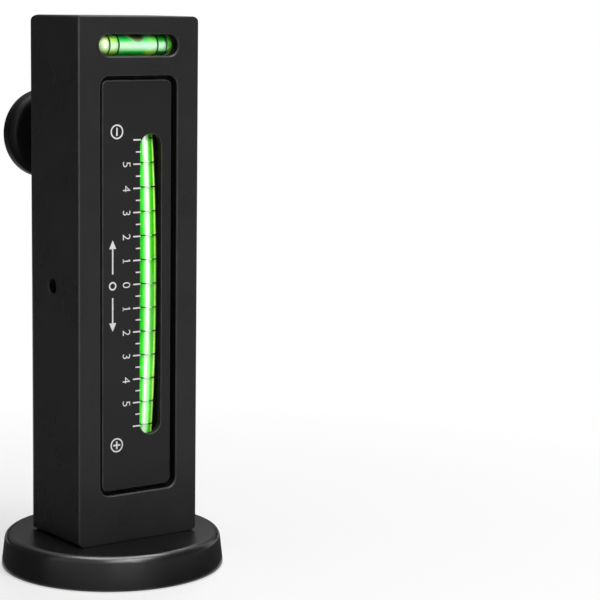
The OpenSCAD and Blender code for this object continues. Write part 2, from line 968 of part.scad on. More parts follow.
module magnet_yoke() {
    color([0.6, 0.61, 0.63])
        translate([0, 0, yoke_z])
            difference() {
                cylinder(h = yoke_t, r = yoke_r);
                translate([0, 0, -cut]) cylinder(h = yoke_t + 2 * cut, r = magnet_bush_r + slip);
            }
}

module magnet_bush() {
    color([0.7, 0.71, 0.73])
        difference() {
            union() {
                translate([0, 0, yoke_z]) cylinder(h = magnet_h - yoke_z, r = magnet_bush_r);
                translate([0, 0, yoke_z + yoke_t])
                    cylinder(h = magnet_h - yoke_z - yoke_t, r = magnet_flange_r);
            }
            translate([0, 0, yoke_z - cut]) cylinder(h = magnet_h, r = stud_r + run);
        }
}

module base_stud() {
    color([0.65, 0.66, 0.68])
        translate([0, 0, stud_low]) cylinder(h = stud_top - stud_low, r = stud_r);
}

housing();
camber_scale_plate();
camber_vial_tube();
camber_vial_fluid();
camber_vial_bubble();
camber_vial_plugs();
camber_vial_rings();
camber_vial_bed();
level_vial_tube();
level_vial_fluid();
level_vial_bubble();
level_vial_rings();
level_vial_bed();
caster_carrier();
pivot_pin();
caster_vial_tube();
caster_vial_fluid();
caster_vial_bubble();
caster_vial_plugs();
caster_vial_rings();
caster_vial_bed();
return_spring();
thrust_pad();
adjuster_screw();
adjuster_bush();
knob_spring();
caster_knob();
magnet_jacket();
magnet_discs();
magnet_yoke();
magnet_bush();
base_stud();
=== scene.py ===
"""Looks of the camber caster gauge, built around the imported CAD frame."""

import math

import bmesh
import bpy
import numpy as np
from mathutils import Matrix, Vector


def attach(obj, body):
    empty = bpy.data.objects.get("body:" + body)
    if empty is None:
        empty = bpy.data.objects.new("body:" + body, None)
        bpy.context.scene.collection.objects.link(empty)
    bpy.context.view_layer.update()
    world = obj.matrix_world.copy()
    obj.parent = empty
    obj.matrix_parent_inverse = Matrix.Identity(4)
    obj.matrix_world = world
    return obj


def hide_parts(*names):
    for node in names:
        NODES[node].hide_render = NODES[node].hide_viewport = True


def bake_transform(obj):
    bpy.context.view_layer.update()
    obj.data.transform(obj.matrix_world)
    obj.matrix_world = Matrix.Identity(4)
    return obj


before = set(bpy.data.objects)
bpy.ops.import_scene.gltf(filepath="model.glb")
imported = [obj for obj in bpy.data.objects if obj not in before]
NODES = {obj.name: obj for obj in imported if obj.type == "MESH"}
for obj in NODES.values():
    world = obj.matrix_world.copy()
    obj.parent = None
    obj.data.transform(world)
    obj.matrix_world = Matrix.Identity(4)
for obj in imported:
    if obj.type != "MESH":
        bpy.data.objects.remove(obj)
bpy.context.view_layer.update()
MM = 0.001

# ---- camera, fitted to the photograph's edges ----

EYE = Vector((-0.3151, -0.5143, 0.1670))
YAW, PITCH, ROLL = math.radians(36.73), math.radians(-8.26), math.radians(0.77)
LENS = 123.88


def make_camera():
    ahead = Vector(
        (
            math.sin(YAW) * math.cos(PITCH),
            math.cos(YAW) * math.cos(PITCH),
            math.sin(PITCH),
        )
    )
    right = ahead.cross(Vector((0, 0, 1))).normalized()
    up = right.cross(ahead)
    turned_right = math.cos(ROLL) * right + math.sin(ROLL) * up
    turned_up = math.cos(ROLL) * up - math.sin(ROLL) * right
    data = bpy.data.cameras.new("camera")
    data.lens = LENS
    data.sensor_width = 36
    data.clip_start, data.clip_end = 0.02, 60
    cam = bpy.data.objects.new("camera", data)
    bpy.context.scene.collection.objects.link(cam)
    turn = Matrix((turned_right, turned_up, -ahead)).transposed()
    cam.matrix_world = Matrix.Translation(EYE) @ turn.to_4x4()
    bpy.context.scene.camera = cam


make_camera()

# ---- materials ----

# Numbers of the Mix node's sockets for colours.
MIX_LOW, MIX_HIGH, MIX_RESULT = 6, 7, 2
# Lathe lines: features per metre, and their depth in metres.
LATHE_SCALE = 2600
LATHE_DEPTH = 0.000008
# Axes of the CAD model's turned parts and hole, in metres.
KNOB_CENTRE = (0, 0.016, 0.1258)
PIVOT = (0, 0.0006, 0.0845)
BASE_CENTRE = (0, 0, 0)
ALONG_X, ALONG_Y, ALONG_Z = (1, 0, 0), (0, 1, 0), (0, 0, 1)


def new_material(name, colour, rough, **values):
    """A Principled material. Values are its sockets, with spaces as underscores."""
    m = bpy.data.materials.new(name)
    m.use_nodes = True
    p = m.node_tree.nodes["Principled BSDF"]
    p.inputs["Base Color"].default_value = (*colour, 1)
    p.inputs["Roughness"].default_value = rough
    for key, value in values.items():
        p.inputs[key.replace("_", " ")].default_value = value
    return m, m.node_tree, p


def feed(nt, sockets, values):
    """Sets each input to its value, which is a socket to link or a constant."""
    for socket, value in zip(sockets, values):
        if isinstance(value, bpy.types.NodeSocket):
            nt.links.new(value, socket)
        else:
            socket.default_value = value


def maths(nt, operation, *values):
    node = nt.nodes.new("ShaderNodeMath")
    node.operation = operation
    feed(nt, node.inputs, values)
    return node.outputs[0]


def times(nt, a, b):
    return maths(nt, "MULTIPLY", a, b)


def vector_maths(nt, operation, *values):
    node = nt.nodes.new("ShaderNodeVectorMath")
    node.operation = operation
    feed(nt, node.inputs, values)
    return node.outputs["Value" if operation in ("LENGTH", "DOT_PRODUCT") else "Vector"]


def coordinates(nt, kind="Object"):
    """Coordinates of a kind, whole and as a set of X, Y and Z."""
    whole = nt.nodes.new("ShaderNodeTexCoord").outputs[kind]
    split = nt.nodes.new("ShaderNodeSeparateXYZ")
    nt.links.new(whole, split.inputs[0])
    return whole, split.outputs


def from_axis(nt, where, centre, axis):
    """How far a place lies from an axis through a centre, and how far along it."""
    away = vector_maths(nt, "SUBTRACT", where, centre)
    across = vector_maths(nt, "MULTIPLY", away, tuple(1 - a for a in axis))
    return vector_maths(nt, "LENGTH", across), vector_maths(nt, "DOT_PRODUCT", away, axis)


def noise_at(nt, where, scale, detail, rough=0.5):
    n = nt.nodes.new("ShaderNodeTexNoise")
    n.inputs["Scale"].default_value = scale
    n.inputs["Detail"].default_value = detail
    n.inputs["Roughness"].default_value = rough
    nt.links.new(where, n.inputs["Vector"])
    return n.outputs["Fac"]


def noise(nt, scale, detail, rough=0.5):
    """Noise in object space, in features per metre."""
    where, _ = coordinates(nt)
    return noise_at(nt, where, scale, detail, rough)


def spread(nt, value, low, high, start=0.3, end=0.7):
    """A value from start..end mapped to low..high."""
    r = nt.nodes.new("ShaderNodeMapRange")
    r.inputs["From Min"].default_value = start
    r.inputs["From Max"].default_value = end
    r.inputs["To Min"].default_value = low
    r.inputs["To Max"].default_value = high
    nt.links.new(value, r.inputs["Value"])
    return r.outputs["Result"]


def blend(nt, value, low, high):
    """Low where value is 0, high where it is 1. Each is a colour or a colour socket."""
    mix = nt.nodes.new("ShaderNodeMix")
    mix.data_type = "RGBA"
    for socket, colour in ((mix.inputs[MIX_LOW], low), (mix.inputs[MIX_HIGH], high)):
        if isinstance(colour, tuple):
            socket.default_value = (*colour, 1)
        else:
            nt.links.new(colour, socket)
    nt.links.new(value, mix.inputs[0])
    return mix.outputs[MIX_RESULT]


def bump(nt, p, value, depth):
    b = nt.nodes.new("ShaderNodeBump")
    b.inputs["Distance"].default_value = depth
    nt.links.new(value, b.inputs["Height"])
    nt.links.new(b.outputs["Normal"], p.inputs["Normal"])


def front_edges(nt):
    """Where the painted edge highlight goes: 1 on the small edge breaks round the scale side's face and
    its openings, by their slope.
    """
    _, normal = coordinates(nt, "Normal")
    slope = maths(nt, "ABSOLUTE", normal["Y"])
    _, place = coordinates(nt)
    inner = spread(nt, slope, 0, 1, 0.15, 0.45)
    outer = spread(nt, slope, 1, 0, 0.9, 0.98)
    scale_side = spread(nt, place["Y"], 1, 0, -0.0125, -0.0105)
    return times(nt, times(nt, inner, outer), scale_side)


def housing_recesses(nt):
    """Where painted shade goes: 1 on the walls and floors of the housing's pockets and of the pivot pin's
    hole.
    The bounds lie just inside its outer faces, in metres."""
    where, place = coordinates(nt)
    across = maths(nt, "ABSOLUTE", place["X"])
    inside = spread(nt, across, 1, 0, 0.016, 0.018)
    behind_face = spread(nt, place["Y"], 0, 1, -0.0141, -0.0137)
    before_back = spread(nt, place["Y"], 1, 0, 0.0120, 0.0135)
    below_top = spread(nt, place["Z"], 1, 0, 0.1585, 0.1600)
    pockets = times(nt, times(nt, inside, behind_face), times(nt, before_back, below_top))
    radius, _ = from_axis(nt, where, PIVOT, ALONG_X)
    in_hole = spread(nt, radius, 1, 0, 0.0022, 0.0024)
    inside_face = spread(nt, across, 1, 0, 0.0194, 0.0198)
    return maths(nt, "MAXIMUM", pockets, times(nt, in_hole, inside_face))


def grained(name, low, high, rough, grain, depth, edge_highlight_and_wear=None, recess_shade=None, **values):
    """A fine-grained surface: colour and gloss vary slowly, and the grain stands depth high.
    Its front edges may take a paler colour, a painted highlight broken up like wear, and the housing's
    pockets a darker one, painted shade."""
    m, nt, p = new_material(name, low, rough, **values)
    slow = noise(nt, 60, 2)
    fine = noise(nt, grain, 3, rough=0.6)
    colour = blend(nt, slow, low, high)
    colour = blend(nt, spread(nt, fine, 0, 0.35), colour, high)
    # Paler front edges: a painted highlight, patchy like wear.
    if edge_highlight_and_wear:
        patchy = spread(nt, noise(nt, 260, 3), 0.55, 1)
        colour = blend(nt, times(nt, front_edges(nt), patchy), colour, edge_highlight_and_wear)
    # Darker pockets and pin hole: painted shade.
    if recess_shade:
        colour = blend(nt, housing_recesses(nt), colour, recess_shade)
    nt.links.new(colour, p.inputs["Base Color"])
    nt.links.new(spread(nt, slow, rough - 0.03, rough + 0.03, 0, 1), p.inputs["Roughness"])
    bump(nt, p, fine, depth)
    return m


def lathe_lines(nt, centre, axis):
    """Fine rings about an axis through a centre, as a lathe leaves them."""
    where, _ = coordinates(nt)
    place = nt.nodes.new("ShaderNodeCombineXYZ")
    feed(nt, place.inputs, from_axis(nt, where, centre, axis))
    return noise_at(nt, place.outputs[0], LATHE_SCALE, 2)


def metal(name, low, high, rough, centre=None, axis=None):
    """Bare metal with the lines of the lathe about its axis, or where it has none, of drawn wire."""
    m, nt, p = new_material(name, low, rough, Metallic=1.0)
    lines = lathe_lines(nt, centre, axis) if axis else noise(nt, 900, 3)
    stain = noise(nt, 150, 3)
    colour = blend(nt, spread(nt, lines, 0, 1), low, high)
    colour = blend(nt, spread(nt, stain, 0, 0.35), colour, tuple(0.6 * c for c in low))
    nt.links.new(colour, p.inputs["Base Color"])
    nt.links.new(spread(nt, lines, rough - 0.05, rough + 0.07), p.inputs["Roughness"])
    bump(nt, p, lines, LATHE_DEPTH)
    return m


def painted(name, rough, **values):
    """A smooth surface whose colour is painted on the mesh's vertices."""
    m, nt, p = new_material(name, (0.5, 0.5, 0.5), rough, **values)
    a = nt.nodes.new("ShaderNodeVertexColor")
    a.layer_name = "paint"
    nt.links.new(a.outputs["Color"], p.inputs["Base Color"])
    return m


# On the black parts the paler edge colour is a painted highlight, and the housing's darker recess colour
# is painted shade.
BLACK = grained("black_anodised", (0.016, 0.016, 0.0163), (0.030, 0.030, 0.0303), 0.28, 3500, 0.000006,
                edge_highlight_and_wear=(0.055, 0.055, 0.055), recess_shade=(0.007, 0.007, 0.007), Specular_IOR_Level=0.12)
PLATE = grained("plate_black", (0.014, 0.014, 0.014), (0.022, 0.022, 0.022), 0.33, 3000, 0.000005,
                edge_highlight_and_wear=(0.085, 0.085, 0.085), Specular_IOR_Level=0.12)
CARRIER = grained("carrier_black", (0.018, 0.018, 0.0185), (0.032, 0.032, 0.0325), 0.30, 3500, 0.000006,
                  Specular_IOR_Level=0.2)
KNOB = grained("knob_plastic", (0.004, 0.004, 0.0041), (0.008, 0.008, 0.0081), 0.40, 2200, 0.000006,
               Specular_IOR_Level=0.07)
RUBBER = grained("rubber", (0.006, 0.006, 0.0062), (0.009, 0.009, 0.0092), 0.24, 1800, 0.000006,
                 Specular_IOR_Level=0.4)
NYLON = grained("nylon", (0.62, 0.6, 0.53), (0.68, 0.66, 0.6), 0.45, 1500, 0.00001)
# The beds are darker and greener than white resin: painted shade in the slots, tinted with painted green
# light from the liquid.
BED = grained("cast_resin", (0.10, 0.13, 0.09), (0.14, 0.18, 0.12), 0.35, 800, 0.00002)
PLUG = grained("plug", (0.45, 0.5, 0.4), (0.55, 0.6, 0.5), 0.3, 900, 0.00001)
RING_LOW, RING_HIGH = (0.003, 0.012, 0.003), (0.007, 0.020, 0.006)
RING = grained("printed_ring", RING_LOW, RING_HIGH, 0.12, 3000, 0.000003, Specular_IOR_Level=1.0)
# The camber scale's zero and degree, and where the gloss line's two sides fade, in metres.
RING_ZERO, RING_STEP = 0.0853, 0.00694
GLOSS_LEFT, GLOSS_RIGHT = (0.0028, 0.0033), (0.0044, 0.0049)
RING_ODD, RING_GLOSS = (0.014, 0.11, 0.016), (0.55, 0.80, 0.52)


def camber_ring_material():
    """Green-black rings, fainter at the odd degrees, and pale where the gloss line crosses them."""
    m, nt, p = new_material("camber_ring", RING_LOW, 0.12, Specular_IOR_Level=1.0)
    _, place = coordinates(nt)
    from_even = maths(nt, "PINGPONG", maths(nt, "SUBTRACT", place["Z"], RING_ZERO), RING_STEP)
    odd = spread(nt, from_even, 0, 1, 0.3 * RING_STEP, 0.7 * RING_STEP)
    right_of = spread(nt, place["X"], 0, 1, *GLOSS_LEFT)
    left_of = spread(nt, place["X"], 1, 0, *GLOSS_RIGHT)
    grain = spread(nt, noise(nt, 3000, 2), 0, 1)
    colour = blend(nt, grain, RING_LOW, RING_HIGH)
    colour = blend(nt, odd, colour, RING_ODD)
    colour = blend(nt, times(nt, right_of, left_of), colour, RING_GLOSS)
    nt.links.new(colour, p.inputs["Base Color"])
    return m


CAMBER_RING = camber_ring_material()
BASE_STEEL = metal("zinc_steel", (0.5, 0.5, 0.52), (0.62, 0.62, 0.64), 0.3, BASE_CENTRE, ALONG_Z)
SCREW_STEEL = metal("screw_steel", (0.48, 0.48, 0.5), (0.62, 0.62, 0.64), 0.28, KNOB_CENTRE, ALONG_Y)
# The pin is far darker than bare steel: painted shade in the side hole.
PIN_STEEL = metal("pin_steel", (0.10, 0.10, 0.105), (0.16, 0.16, 0.165), 0.4, PIVOT, ALONG_X)
WIRE = metal("spring_wire", (0.46, 0.46, 0.48), (0.6, 0.6, 0.62), 0.28)
BRASS = metal("brass", (0.60, 0.42, 0.17), (0.76, 0.56, 0.25), 0.26, KNOB_CENTRE, ALONG_Y)
NICKEL = metal("nickel", (0.55, 0.54, 0.5), (0.66, 0.65, 0.61), 0.22, BASE_CENTRE, ALONG_Z)
MARK = grained("white_print", (0.70, 0.70, 0.69), (0.78, 0.78, 0.77), 0.5, 4000, 0.000004)


def clear_glass():
    """Clear acrylic that lets the lamps through to what it holds."""
    m, nt, p = new_material("clear_acrylic", (1, 1, 1), 0.02, Transmission_Weight=1.0, IOR=1.49)
    path = nt.nodes.new("ShaderNodeLightPath")
    clear = nt.nodes.new("ShaderNodeBsdfTransparent")
    mix = nt.nodes.new("ShaderNodeMixShader")
    nt.links.new(path.outputs["Is Shadow Ray"], mix.inputs[0])
    nt.links.new(p.outputs[0], mix.inputs[1])
    nt.links.new(clear.outputs[0], mix.inputs[2])
    nt.links.new(mix.outputs[0], nt.nodes["Material Output"].inputs["Surface"])
    return m


GLASS = clear_glass()
LIQUID = painted("green_liquid", 0.3, Specular_IOR_Level=0.0)
AIR = painted("air_bubble", 0.12)

NODE_MATERIALS = {
    "housing": BLACK,
    "camber_scale_plate": PLATE,
    "camber_vial_tube": GLASS,
    "level_vial_tube": GLASS,
    "caster_vial_tube": GLASS,
    "camber_vial_plugs": PLUG,
    "caster_vial_plugs": PLUG,
    "camber_vial_rings": CAMBER_RING,
    "level_vial_rings": RING,
    "caster_vial_rings": RING,
    "camber_vial_bed": BED,
    "level_vial_bed": BED,
    "caster_vial_bed": BED,
    "caster_carrier": CARRIER,
    "pivot_pin": PIN_STEEL,
    "thrust_pad": NYLON,
    "adjuster_screw": SCREW_STEEL,
    "adjuster_bush": BRASS,
    "caster_knob": KNOB,
    "magnet_jacket": RUBBER,
    "magnet_discs": NICKEL,
    "magnet_yoke": BASE_STEEL,
    "magnet_bush": BASE_STEEL,
    "base_stud": BASE_STEEL,
}
for name, material in NODE_MATERIALS.items():
    mesh = NODES[name].data
    mesh.materials.clear()
    mesh.materials.append(material)

# ---- mesh helpers ----


def face_outwards(mesh):
    bm = bmesh.new()
    bm.from_mesh(mesh)
    bmesh.ops.recalc_face_normals(bm, faces=bm.faces)
    bm.to_mesh(mesh)
    bm.free()


def add_mesh(name, verts, faces, material, body, smooth=True):
    mesh = bpy.data.meshes.new(name)
    mesh.from_pydata([tuple(v) for v in verts], [], faces)
    mesh.update()
    ob = bpy.data.objects.new(name, mesh)
    bpy.context.scene.collection.objects.link(ob)
    mesh.materials.append(material)
    if smooth:
        mesh.shade_smooth()
    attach(ob, body)
    return ob


def paint(ob, colours):
    """Colours are linear, one for each vertex."""
    layer = ob.data.color_attributes.new("paint", "FLOAT_COLOR", "POINT")
    flat = np.ones((len(ob.data.vertices), 4), np.float32)
    flat[:, :3] = np.clip(np.array(colours, float), 0, 1)
    layer.data.foreach_set("color", flat.ravel())


def grid_faces(rows, columns, closed):
    """Quads of a grid of rows by columns, whose columns meet again where it is closed."""
    faces = []
    for i in range(rows - 1):
        for j in range(columns if closed else columns - 1):
            k = (j + 1) % columns
            faces.append((i * columns + j, i * columns + k, (i + 1) * columns + k, (i + 1) * columns + j))
    return faces


def blend_colours(stops, at):
    """Linear colour between stops of (place, sRGB colour in 0..255)."""
    places = [s[0] for s in stops]
    return np.array([
        np.interp(at, places, [(s[1][c] / 255) ** 2.2 for s in stops]) for c in range(3)
    ]).T


class BentVial:
    """The path of a bent vial. Its convex side faces side * Y, and s runs up along it. Angles
    round it start on the convex side and grow towards side * -X."""

    def __init__(self, x, y, z, radius, side):
        self.x, self.y, self.z, self.radius, self.side = x, y, z, radius, side

    def point(self, s, angle, r):
        turn = s / self.radius
        out = np.stack([0 * turn, self.side * np.cos(turn), np.sin(turn)], -1)
        centre = np.array([self.x, self.y - self.side * self.radius, self.z])
        path = centre + self.radius * out
        across = np.array([-self.side, 0.0, 0.0])
        return path + r[..., None] * (np.cos(angle)[..., None] * out + np.sin(angle)[..., None] * across)


class StraightVial:
    """The path of the cross level, along +X. Half is half the length of its straight part. Angles
    round it start at the front and grow upwards."""

    def __init__(self, y, z, half):
        self.y, self.z, self.half = y, z, half

    def point(self, s, angle, r):
        return np.stack([
            s, self.y - r * np.cos(angle), self.z + r * np.sin(angle)
        ], -1)


def tube_grid(path, spots, radii, corners):
    """Rings of vertices at the spots along a path, each of that many corners."""
    angles = np.linspace(0, 2 * math.pi, corners, endpoint=False)
    s, a = np.meshgrid(spots, angles, indexing="ij")
    r = np.repeat(np.asarray(radii, float)[:, None], corners, 1)
    return path.point(s, a, r) * MM, s, a


# Sizes of the CAD model's vials, in millimetres in the object's frame.
CAMBER = BentVial(4.7, -10.7, 85.3, 398, -1)
CASTER = BentVial(0, 7.4, 53.0, 260, 1)
LEVEL = StraightVial(-11.0, 153.8, 9.7)
CAMBER_BORE, CASTER_BORE, LEVEL_BORE = 2.5, 2.2, 2.3
# Half the length of each bent vial's liquid.
CAMBER_HALF, CASTER_HALF = 49.9, 24.9
# The liquid wets the bore, so its surface stands this far into the clear wall, with no air between.
FILM = 0.015

# ---- liquid ----

# Corners round each body of liquid.
LIQUID_CORNERS = 96


def liquid(name, path, spots, radii, colours_at, body, node):
    """A closed body of liquid along a path. Colours_at gives its colours by place and angle."""
    verts, s, a = tube_grid(path, spots, radii, LIQUID_CORNERS)
    flat = verts.reshape(-1, 3)
    faces = grid_faces(len(spots), LIQUID_CORNERS, True)
    count = len(flat)
    ends = [flat[:LIQUID_CORNERS].mean(0), flat[-LIQUID_CORNERS:].mean(0)]
    flat = np.concatenate([flat, ends])
    for j in range(LIQUID_CORNERS):
        k = (j + 1) % LIQUID_CORNERS
        faces.append((count, k, j))
        faces.append((count + 1, count - LIQUID_CORNERS + j, count - LIQUID_CORNERS + k))
    ob = add_mesh(name, flat, faces, LIQUID, body)
    face_outwards(ob.data)
    angle = (np.degrees(a).ravel() + 180) % 360 - 180
    colours = colours_at(s.ravel(), angle)
    paint(ob, np.concatenate([colours, colours[:1], colours[-1:]]))
    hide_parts(node)


def camber_colours(s, angle):
    """Painted light and shade on the liquid: green on the left, a pale line nearly in front that is a
    painted highlight, then deep green and a yellow-green painted highlight on the right. The lines lie
    further right towards the ends, where the tube bends back. In the lower half the pale line is
    narrower, with a mint green beside it, and the colour there is painted brighter."""
    angle = angle - 8 * (s / 38) ** 2 * np.where(np.abs(angle) < 90, 1, 0)
    plain = blend_colours([
        (-180, (18, 100, 28)), (-110, (26, 140, 36)), (-92, (50, 205, 46)), (-66, (64, 238, 56)),
        (-50, (68, 240, 58)), (-20, (88, 225, 70)), (-4, (84, 190, 50)), (5, (56, 175, 24)),
        (13, (46, 168, 9)), (22, (52, 162, 11)), (32, (150, 222, 80)), (42, (136, 180, 58)),
        (54, (46, 78, 22)), (75, (14, 50, 12)), (110, (16, 86, 20)), (180, (18, 100, 28))], angle)
    # The pale line is a painted highlight.
    line = np.interp(angle, [-44, -38, -32, -18, -12, -4], [0, 0.4, 1, 1, 0.8, 0])
    narrow = np.interp(angle, [-44, -39, -34, -24, -18, -12], [0, 0.3, 1, 1, 0.4, 0])
    lower = np.interp(s, [-46, -42, -26, -16], [0, 1, 1, 0])
    beside = np.interp(angle, [-26, -18, -6, 2], [0, 1, 1, 0])
    line = np.clip(line * (1 - lower) + narrow * lower, 0, 1)[:, None]
    mint = (0.6 * beside * lower * (1 - line[:, 0]))[:, None]
    colour = plain * (1 - mint) + np.array([[0.40, 1.0, 0.36]]) * mint
    colour = colour * (1 - line) + np.array([[0.72, 1.0, 0.68]]) * line
    # Painted light: the lower half is brightened.
    colour = colour * (1 + 0.45 * lower[:, None])
    # The yellow-green line on the right is a painted highlight, stronger towards the ends.
    rim = np.interp(angle, [22, 29, 42, 50], [0, 1, 1, 0]) * np.clip(np.abs(s) / 36, 0, 1)
    return colour + (0.5 * rim)[:, None] * np.array([[0.75, 0.85, 0.30]])


def level_colours(s, angle):
    """Painted light and shade on the liquid: lime at the left, green in the middle, deep green at the
    right, and a painted highlight as a pale band along the front, with painted shade towards the back."""
    top = blend_colours([
        (-12.4, (220, 245, 190)), (-10.2, (200, 238, 140)), (-9.4, (150, 215, 84)),
        (-6.8, (136, 208, 66)),
        (-6.2, (36, 185, 80)), (-2, (32, 182, 76)), (3, (56, 195, 88)), (4.5, (116, 205, 86)),
        (6.4, (90, 195, 64)), (7, (10, 128, 24)), (10, (8, 112, 16)), (11.4, (64, 135, 22)),
        (12.4, (160, 185, 60))], s)
    low = blend_colours([
        (-12.4, (220, 245, 190)), (-10.2, (176, 225, 110)), (-9.4, (150, 212, 74)),
        (-6.8, (145, 208, 60)),
        (-6.2, (60, 198, 78)), (-3.5, (30, 185, 56)), (2, (24, 178, 46)), (4.0, (155, 215, 72)),
        (6.4, (134, 200, 60)), (7, (10, 138, 26)), (10, (8, 124, 18)), (11.4, (86, 152, 30)),
        (12.4, (190, 198, 66))], s)
    share = np.interp(angle, [-30, 0], [0, 1])[:, None]
    base = low * (1 - share) + top * share
    # The pale band is a painted highlight.
    band = np.interp(angle, [-46, -40, -20, -8, 2, 12, 24, 32], [0, 0.4, 0.75, 1, 1, 0.8, 0.3, 0])
    band = band * np.interp(s, [-12.4, -11, 7, 9.5, 10.4], [0.4, 1, 1, 0.85, 0])
    pale = blend_colours([(-12.4, (214, 238, 190)), (-6, (188, 232, 186)), (3, (188, 235, 198)),
                          (10, (180, 230, 184))], s)
    base = base * (1 - band[:, None]) + pale * band[:, None]
    shade = np.interp(np.abs(angle), [50, 64, 100, 180], [1, 0.7, 0.5, 0.4])
    return base * shade[:, None]


def caster_colours(s, angle):
    """Painted light and shade: bright green at the back, where it is seen, and painted shade in deeper
    green round the sides.
    """
    return blend_colours([
        (-180, (20, 120, 30)), (-90, (30, 150, 40)), (-50, (90, 215, 60)), (0, (70, 210, 75)),
        (50, (60, 190, 60)), (90, (30, 150, 40)), (180, (20, 120, 30))], angle)


def capsule_spots(half, r):
    """Places and radii along a straight body with round ends, closed but for their tips."""
    turn = np.linspace(math.radians(88), 0, 14)
    left = [(-half - r * math.sin(t), r * math.cos(t)) for t in turn]
    middle = [(x, r) for x in np.linspace(-half, half, 60)[1:-1]]
    right = [(half + r * math.sin(t), r * math.cos(t)) for t in turn[::-1]]
    places = left + middle + right
    return np.array([p[0] for p in places]), np.array([p[1] for p in places])


liquid("camber_liquid", CAMBER, np.linspace(-CAMBER_HALF, CAMBER_HALF, 200),
       np.full(200, CAMBER_BORE + FILM), camber_colours, "block", "camber_vial_fluid")
liquid("caster_liquid", CASTER, np.linspace(-CASTER_HALF, CASTER_HALF, 120),
       np.full(120, CASTER_BORE + FILM), caster_colours, "carrier", "caster_vial_fluid")
level_spots, level_radii = capsule_spots(LEVEL.half, LEVEL_BORE + FILM)
liquid("level_liquid", LEVEL, level_spots, level_radii, level_colours, "block", "level_vial_fluid")

# ---- bubbles: a lens of air against the bore, widest at its middle ----


def bubble(name, path, middle, half, bore, up, reach, body, node):
    """Up is the angle of its highest line round the vial, and reach how far it goes down at each
    side. It is painted dark in the middle, with a painted highlight at its rim, both brighter towards one
    end."""
    rows, columns = 40, 48
    verts, colours = [], []
    for i in range(rows + 1):
        out = math.sin(i / rows * math.pi / 2)
        for j in range(columns):
            turn = j / columns * 2 * math.pi
            along, across = out * math.cos(turn), out * math.sin(turn)
            place = np.array(middle + half * along)
            angle = np.array(math.radians(up + reach * across))
            verts.append(path.point(place, angle, np.array(bore + 2 * FILM - 0.01 * out ** 6)))
            # The bright rim is a painted highlight.
            rim = out ** 7
            lower = 0.5 - 0.5 * along
            dark = np.array([0.03, 0.05, 0.01]) * (0.4 + 1.0 * lower)
            bright = np.array([0.42, 0.75, 0.30]) * (0.35 + 0.65 * lower)
            colours.append(dark * (1 - rim) + bright * rim)
    faces = grid_faces(rows + 1, columns, True)
    ob = add_mesh(name, np.array(verts) * MM, faces, AIR, body)
    face_outwards(ob.data)
    paint(ob, colours)
    solid = ob.modifiers.new("depth", "SOLIDIFY")
    solid.thickness = 0.3 * MM
    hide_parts(node)


bubble("level_bubble_lens", LEVEL, 0, 3.1, LEVEL_BORE, 90, 71, "level_bubble", "level_vial_bubble")
bubble("camber_bubble_lens", CAMBER, 46.3, 3.4, CAMBER_BORE, 0, 62, "camber_bubble", "camber_vial_bubble")
bubble("caster_bubble_lens", CASTER, 21.3, 3.4, CASTER_BORE, 0, 62, "caster_bubble", "caster_vial_bubble")

# ---- springs: round wire, finer than the CAD's ----

SCREW_Z = 125.8


def spring(name, coil_r, y0, y1, turns, wire, node):
    """A coil about the knob's axis from y0 to y1, whose wire starts and ends along the axis."""
    steps, sides = 48, 14
    count = turns * steps
    path = [(coil_r, y0, 0.0)]
    for i in range(count + 1):
        a = 2 * math.pi * i / steps
        y = y0 + wire * 1.5 + i * (y1 - y0 - 3 * wire) / count
        path.append((coil_r * math.cos(a), y, coil_r * math.sin(a)))
    path.append((coil_r, y1, 0.0))
    points = [Vector(p) for p in path]
    verts = []
    for i, p in enumerate(points):
        last = i in (0, len(points) - 1)
        way = Vector((0, 1, 0)) if last else (points[i + 1] - points[i - 1]).normalized()
        out = Vector((p.x, 0, p.z)).normalized()
        side = way.cross(out).normalized()
        up = side.cross(way)
        for k in range(sides):
            a = 2 * math.pi * k / sides
            q = p + wire / 2 * (math.cos(a) * up + math.sin(a) * side)
            verts.append((q.x * MM, q.y * MM, (q.z + SCREW_Z) * MM))
    faces = grid_faces(len(points), sides, True)
    faces.append(tuple(range(sides)))
    faces.append(tuple(reversed(range(len(verts) - sides, len(verts)))))
    mesh = bpy.data.meshes.new(name)
    mesh.from_pydata(verts, [], faces)
    face_outwards(mesh)
    mesh.shade_smooth()
    mesh.materials.append(WIRE)
    ob = bpy.data.objects.new(name, mesh)
    bpy.context.scene.collection.objects.link(ob)
    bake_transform(ob)
    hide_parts(node)


spring("knob_coil", 3.5, 16.02, 24.98, 5, 0.8, "knob_spring")
spring("return_coil", 2.4, -1.38, 3.98, 3, 0.6, "return_spring")

# ---- printed marks on the scale plate ----

# The plate's face lies 1.2 mm behind the block's.
PLATE_Y = -14.5 + 1.2
# How far a print stands above its surface, and how deep it is sunk into it.
PRINT_T, PRINT_SINK = 0.03, 0.01
BLOCK_LEFT, FOOT = -20.1, 10.0
# The camber scale: a degree, and its zero above the block's foot.
DEGREE, ZERO = 6.94, 75.3
# Where its ticks start and end, and where the digits stand, from the block's left edge.
LONG_TICK, SHORT_TICK, TICK_END = 18.78, 19.64, 21.3
LONG_TICK_T, SHORT_TICK_T = 0.42, 0.36
DIGIT_U0, DIGIT_U1 = 15.3, 17.8
# The digits' width against the font's, and how much thinner their strokes are.
DIGIT_WIDTH, DIGIT_WEIGHT = 1.08, -0.008
# The signs' middle, outer radius and stroke, and the arrow's middle.
SIGN_U, SIGN_R, SIGN_T = 13.3, 2.1, 0.42
ARROW_U = 11.9


